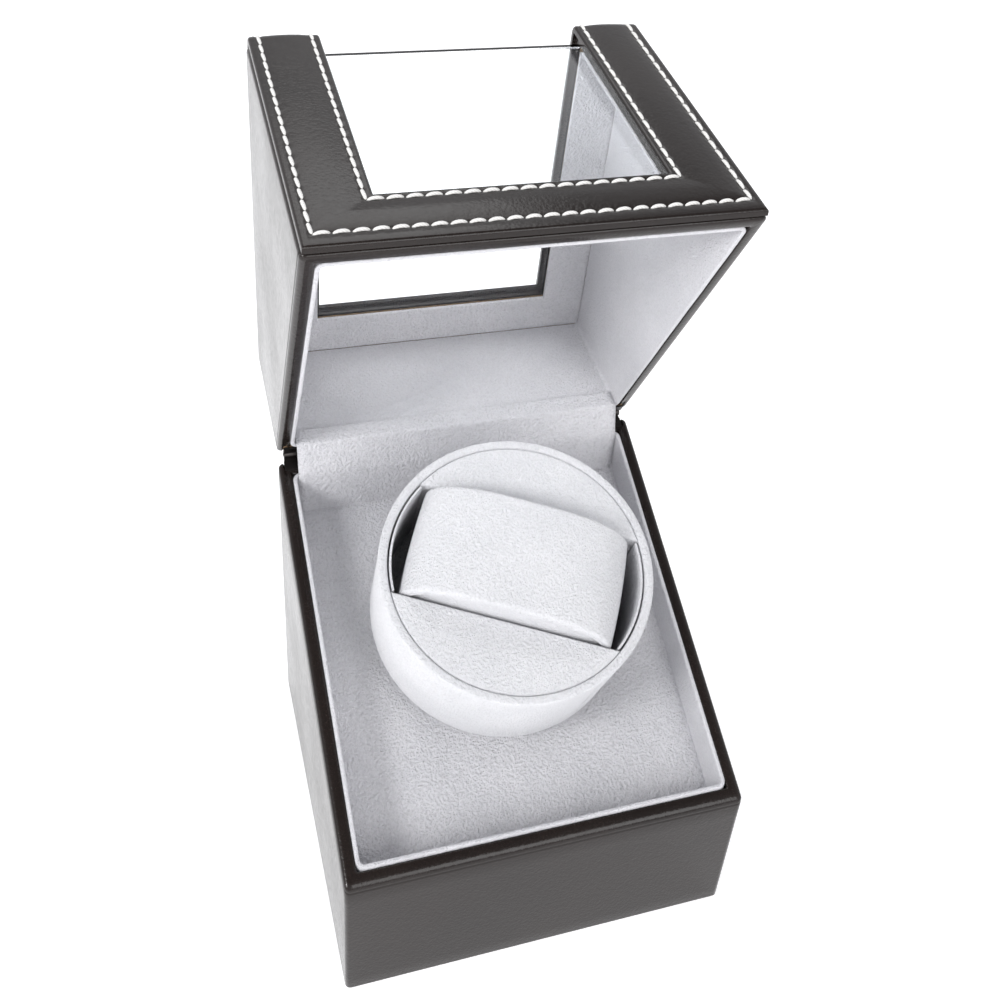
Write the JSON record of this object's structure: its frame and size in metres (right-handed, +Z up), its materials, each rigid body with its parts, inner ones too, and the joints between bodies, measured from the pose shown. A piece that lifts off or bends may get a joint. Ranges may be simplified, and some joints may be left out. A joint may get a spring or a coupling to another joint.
{
  "type": "watch winder box",
  "caption": "Slant-lidded watch winder box: leather-covered case with a hinged, windowed lid and a tilted turning drum that holds a watch on a removable pillow.",
  "frame": {"origin": "middle of the underside, which stands on z = 0", "axes": "+X to the object's right seen from the front, +Y to its back, +Z up"},
  "size_m": [0.12, 0.1688, 0.2339],
  "materials": {
    "leather": "fine grained imitation leather, satin",
    "suede": "pale grey suede-like velour, matt",
    "drum_suede": "near-white suede-like velour, matt",
    "fibreboard": "medium density fibreboard",
    "acrylic": "clear acrylic sheet, polished",
    "felt": "black felt",
    "black_plastic": "black moulded plastic",
    "nylon": "natural nylon",
    "steel": "bright plated steel",
    "brass": "turned brass",
    "rubber": "black belt rubber",
    "circuit_board": "glass-epoxy board with components",
    "core_foam": "firm foam"
  },
  "bodies": {
    "base": {"base_leather_wrap": "leather", "base_front_liner": "suede", "base_back_liner": "suede", "base_left_liner": "suede", "base_right_liner": "suede", "deck_board": "suede", "suede_hinge_strip": "suede", "base_front_board": "fibreboard", "base_back_board": "fibreboard", "base_left_board": "fibreboard", "base_right_board": "fibreboard", "base_bottom_board": "fibreboard", "underside_felt": "felt", "gearbox_housing": "black_plastic", "gearbox_cover": "black_plastic", "rear_plate": "black_plastic", "dc_inlet": "black_plastic", "mode_switch_body": "black_plastic", "hinge_base_leaf": "steel", "hinge_pin": "steel", "gearbox_screw_1": "steel", "gearbox_screw_2": "steel", "arbor_pin_1": "steel", "arbor_pin_2": "steel", "motor_can": "steel", "rear_plate_screw_1": "steel", "rear_plate_screw_2": "steel", "shaft_bearing": "brass", "drive_belt": "rubber", "control_board": "circuit_board"},
    "lid": {"lid_leather_wrap": "leather", "lid_trim_panel": "leather", "lid_front_liner": "suede", "lid_top_liner": "suede", "lid_back_liner": "suede", "lid_left_liner": "suede", "lid_right_liner": "suede", "lid_front_board": "fibreboard", "lid_top_board": "fibreboard", "lid_back_board": "fibreboard", "lid_left_board": "fibreboard", "lid_right_board": "fibreboard", "front_window_pane": "acrylic", "top_window_pane": "acrylic", "hinge_lid_leaf": "steel"},
    "drum": {"drum_shell": "drum_suede", "upper_face_panel": "drum_suede", "lower_face_panel": "drum_suede", "slot_end_strip_1": "drum_suede", "slot_end_strip_2": "drum_suede", "drum_hub": "black_plastic", "drum_shaft": "steel", "output_gear": "nylon", "hub_screw": "steel"},
    "pillow": {"watch_pillow": "drum_suede", "pillow_core": "core_foam"},
    "reduction": {"reduction_gear": "nylon"},
    "pulley": {"belt_pulley": "nylon"},
    "rotor": {"motor_pulley": "brass"},
    "switch": {"mode_switch_lever": "nylon"}
  },
  "joints": [
    {"name": "lid_hinge", "type": "hinge", "parent": "base", "child": "lid", "pos_m": [0, 0.0615, 0.1054], "axis": [1, 0, 0], "range_deg": [0, 83.2], "deforming": ["suede_hinge_strip"]},
    {"name": "drum_spin", "type": "hinge", "parent": "base", "child": "drum", "pos_m": [0, 0.0117, 0.06527], "axis": [0, -0.4102, 0.912], "continuous": true},
    {"name": "pillow_slide", "type": "slide", "parent": "drum", "child": "pillow", "axis": [0, -0.4102, 0.912], "range_m": [0, 0.015]},
    {"name": "reduction_spin", "type": "hinge", "parent": "base", "child": "reduction", "pos_m": [0.0108, -0.00536, 0.05759], "axis": [0, -0.4102, 0.912], "continuous": true},
    {"name": "pulley_spin", "type": "hinge", "parent": "base", "child": "pulley", "pos_m": [-0.00479, -0.01357, 0.0539], "axis": [0, -0.4102, 0.912], "continuous": true},
    {"name": "rotor_spin", "type": "hinge", "parent": "base", "child": "rotor", "pos_m": [-0.031, -0.0038, 0.05829], "axis": [0, -0.4102, 0.912], "continuous": true},
    {"name": "mode_switch_slide", "type": "slide", "parent": "base", "child": "switch", "axis": [1, 0, 0], "range_m": [-0.002, 0.002]}
  ],
  "couplings": [
    {"joint": "reduction_spin", "follows": "drum_spin", "ratio": -5},
    {"joint": "pulley_spin", "follows": "drum_spin", "ratio": 20},
    {"joint": "rotor_spin", "follows": "drum_spin", "ratio": 120}
  ]
}
